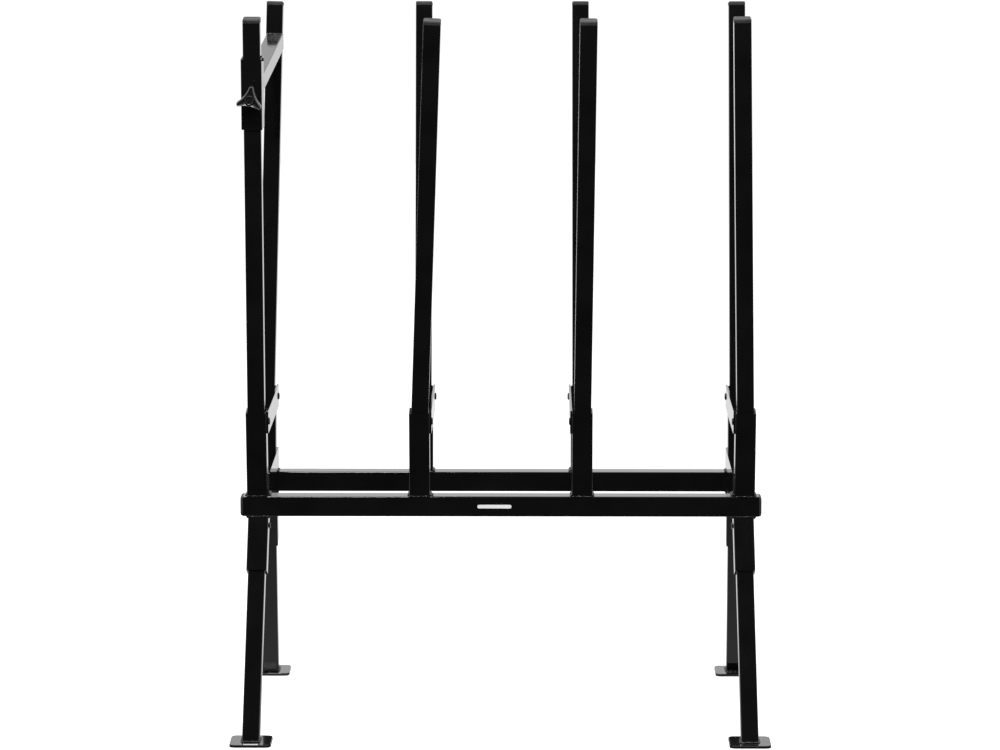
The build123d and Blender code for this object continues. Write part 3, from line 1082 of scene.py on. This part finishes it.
class SAWHORSE_OT_fit_clamp_screw(bpy.types.Operator):
    """Fit the hold-down's welded nut, threaded stud and three-lobed knob"""

    bl_idname = "sawhorse.fit_clamp_screw"
    bl_label = "Fit the clamp screw"

    def execute(self, context):
        knob = context.scene.sawhorse_knob
        made = finishes(context.scene)
        joint = frame_joint("knob_turn")
        axis = Vector(joint["axis"]).normalized()
        back_face = Vector(joint["pos_m"])
        across = facing("hold_down_sleeve", X_AXIS)
        knob_place = placed(back_face, across, axis)
        start = back_face.dot(axis)
        sleeve_face = reach("hold_down_sleeve", axis)[1]
        nut_face = reach("clamp_nut", axis)[1]
        hub_back = start - reach("clamp_knob", axis)[0]
        mesh = knob_mesh(knob, knob_place, hub_back)
        plastic = made["Knob plastic"]
        finished_object("clamp_knob_moulded", mesh, plastic, KNOB_BODY, "knob_plastic", "clamp_knob")

        low, high = reach("clamp_stud", axis)
        tip = low - start
        rings = [circle(knob.stud_radius * 0.8, tip, 36)]
        rings += threaded_rings(knob.stud_radius, knob.stud_pitch, tip + 0.0006, 0.0, 36, 0.0006)
        rings.append(circle(knob.stud_radius * 0.9, high - start, 36))
        mesh = ring_shell("clamp_stud_threaded", rings, knob_place, smooth_below=radians(60))
        zinc = made["Zinc plate"]
        finished_object("clamp_stud_threaded", mesh, zinc, STUD_BODY, "zinc_steel", "clamp_stud")

        mesh = hexagon_nut(
            "clamp_nut_turned",
            knob.nut_flats,
            knob.stud_radius + 0.00005,
            sleeve_face - start,
            nut_face - start,
            knob_place,
        )
        finished_object("clamp_nut_turned", mesh, made["Powder coat"], HOLD_BODY, "zinc_steel", "clamp_nut")
        return {"FINISHED"}


class SAWHORSE_OT_print_bar(bpy.types.Operator):
    """Print the plain bar on the face of the front rail"""

    bl_idname = "sawhorse.print_bar"
    bl_label = "Print the bar"

    def execute(self, context):
        mark = context.scene.sawhorse_mark
        ink = finishes(context.scene)["Screen ink"]
        low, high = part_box("rail_front")
        centre = Vector((mark.offset, low.y, (low.z + high.z) / 2))
        end = mark.height / 2
        straight = mark.length / 2 - end
        rings = []
        for depth, shrink in ((-0.0001, 0.0), (mark.thickness * 0.7, 0.0), (mark.thickness, 0.00004)):
            ring = []
            for i in range(32):
                angle = -pi / 2 + tau * i / 32
                shift = straight if cos(angle) > 0 else -straight
                ring.append((shift + (end - shrink) * cos(angle), (end - shrink) * sin(angle), depth))
            rings.append(ring)
        mesh = ring_shell("rail_bar", rings, placed(centre, X_AXIS, -Y_AXIS))
        finished_object("rail_bar", mesh, ink, FRAME_BODY, "powder_coat")
        return {"FINISHED"}


def fade_along_y(tree, place, limits):
    """How strong a reflected white is, from a place's or a direction's Y."""
    split = tree.nodes.new("ShaderNodeSeparateXYZ")
    tree.links.new(place, split.inputs["Vector"])
    fade = tree.nodes.new("ShaderNodeMapRange")
    fade.interpolation_type = "SMOOTHSTEP"
    for name, value in limits.items():
        fade.inputs[name].default_value = value
    tree.links.new(split.outputs["Y"], fade.inputs["Value"])
    return fade.outputs["Result"]


def stage_floor(size):
    """A white floor that shows white to the camera and darkens in reflections in front of the object."""
    mesh = bpy.data.meshes.new("studio_floor")
    half = size / 2
    shape = bmesh.new()
    corners = (-half, -half), (half, -half), (half, half), (-half, half)
    shape.faces.new([shape.verts.new((x, y, -FLOOR_DROP)) for x, y in corners])
    shape.to_mesh(mesh)
    shape.free()
    material = bpy.data.materials.new("Studio floor")
    material.use_nodes = True
    tree = material.node_tree
    tree.nodes.clear()
    link = tree.links.new
    place = tree.nodes.new("ShaderNodeTexCoord")
    ray = tree.nodes.new("ShaderNodeLightPath")
    mirrored = tree.nodes.new("ShaderNodeEmission")
    link(fade_along_y(tree, place.outputs["Object"], FLOOR_FADE), mirrored.inputs["Strength"])
    glow = tree.nodes.new("ShaderNodeEmission")
    glow.inputs["Strength"].default_value = FLOOR_GLOW
    paper = tree.nodes.new("ShaderNodeBsdfDiffuse")
    paper.inputs["Color"].default_value = (FLOOR_PAPER, FLOOR_PAPER, FLOOR_PAPER, 1.0)
    lit = tree.nodes.new("ShaderNodeAddShader")
    link(glow.outputs[0], lit.inputs[0])
    link(paper.outputs[0], lit.inputs[1])
    seen = tree.nodes.new("ShaderNodeMixShader")
    link(ray.outputs["Is Camera Ray"], seen.inputs["Fac"])
    link(mirrored.outputs[0], seen.inputs[1])
    link(lit.outputs[0], seen.inputs[2])
    out = tree.nodes.new("ShaderNodeOutputMaterial")
    link(seen.outputs[0], out.inputs["Surface"])
    mesh.materials.append(material)
    floor = bpy.data.objects.new("studio_floor", mesh)
    bpy.context.scene.collection.objects.link(floor)


def stage_world(scene):
    """A white studio all round, apart from a dark room behind the camera, which front faces mirror."""
    world = bpy.data.worlds.new("Studio")
    scene.world = world
    world.use_nodes = True
    tree = world.node_tree
    tree.nodes.clear()
    link = tree.links.new
    way = tree.nodes.new("ShaderNodeTexCoord")
    ray = tree.nodes.new("ShaderNodeLightPath")
    room = tree.nodes.new("ShaderNodeBackground")
    room.inputs["Color"].default_value = (1.0, 1.0, 1.0, 1.0)
    link(fade_along_y(tree, way.outputs["Generated"], ROOM_FADE), room.inputs["Strength"])
    white = tree.nodes.new("ShaderNodeBackground")
    white.inputs["Color"].default_value = (1.0, 1.0, 1.0, 1.0)
    white.inputs["Strength"].default_value = ROOM_WHITE
    mix = tree.nodes.new("ShaderNodeMixShader")
    link(ray.outputs["Is Camera Ray"], mix.inputs["Fac"])
    link(room.outputs[0], mix.inputs[1])
    link(white.outputs[0], mix.inputs[2])
    out = tree.nodes.new("ShaderNodeOutputWorld")
    link(mix.outputs[0], out.inputs["Surface"])


def stage_light(name, place, aim, size, power, mirrored):
    data = bpy.data.lights.new(name, "AREA")
    data.shape = "RECTANGLE"
    data.size = size
    data.size_y = size
    data.energy = power
    light = bpy.data.objects.new(name, data)
    light.location = place
    light.rotation_euler = (Vector(aim) - Vector(place)).to_track_quat("-Z", "Y").to_euler()
    light.visible_glossy = mirrored
    bpy.context.scene.collection.objects.link(light)


class SAWHORSE_OT_set_stage(bpy.types.Operator):
    """Set the floor, the studio, its soft lights and the camera"""

    bl_idname = "sawhorse.set_stage"
    bl_label = "Set the stage"

    def execute(self, context):
        scene = context.scene
        stage = scene.sawhorse_stage
        stage_floor(stage.floor_size)
        stage_world(scene)
        for name, place, aim, size, power, mirrored in LIGHTS:
            stage_light(name, place, aim, size, power, mirrored)
        data = bpy.data.cameras.new("camera")
        data.sensor_width = 36.0
        data.lens = stage.lens
        data.clip_end = 100.0
        camera = bpy.data.objects.new("camera", data)
        camera.location = (stage.camera_side, -stage.camera_distance, stage.camera_height)
        camera.rotation_euler = (pi / 2 - stage.camera_pitch, 0, stage.camera_turn)
        scene.collection.objects.link(camera)
        scene.camera = camera
        scene.view_settings.view_transform = "Standard"
        scene.view_settings.look = "None"
        return {"FINISHED"}


OPERATORS = (
    SAWHORSE_OT_coat_steel,
    SAWHORSE_OT_lay_welds,
    SAWHORSE_OT_fit_bolts,
    SAWHORSE_OT_fit_caps,
    SAWHORSE_OT_fit_clamp_screw,
    SAWHORSE_OT_print_bar,
    SAWHORSE_OT_set_stage,
)


class SAWHORSE_PT_panel(bpy.types.Panel):
    """Lists the steps that dress the saw-horse, with their settings"""

    bl_idname = "SAWHORSE_PT_panel"
    bl_label = "Saw-Horse"
    bl_space_type = "VIEW_3D"
    bl_region_type = "UI"
    bl_category = "Saw-Horse"

    def draw(self, context):
        layout = self.layout
        for operator in OPERATORS:
            layout.operator(operator.bl_idname)
        for name, group in SETTINGS.items():
            box = layout.box()
            box.label(text=group.__doc__)
            for field in group.__annotations__:
                box.prop(getattr(context.scene, name), field)


def register():
    for name, group in SETTINGS.items():
        bpy.utils.register_class(group)
        setattr(bpy.types.Scene, name, PointerProperty(type=group))
    for operator in OPERATORS:
        bpy.utils.register_class(operator)
    bpy.utils.register_class(SAWHORSE_PT_panel)


def unregister():
    bpy.utils.unregister_class(SAWHORSE_PT_panel)
    for operator in reversed(OPERATORS):
        bpy.utils.unregister_class(operator)
    for name, group in SETTINGS.items():
        delattr(bpy.types.Scene, name)
        bpy.utils.unregister_class(group)


def main():
    register()
    bpy.ops.sawhorse.coat_steel()
    bpy.ops.sawhorse.lay_welds()
    bpy.ops.sawhorse.fit_bolts()
    bpy.ops.sawhorse.fit_caps()
    bpy.ops.sawhorse.fit_clamp_screw()
    bpy.ops.sawhorse.print_bar()
    bpy.ops.sawhorse.set_stage()


if __name__ == "__main__":
    main()
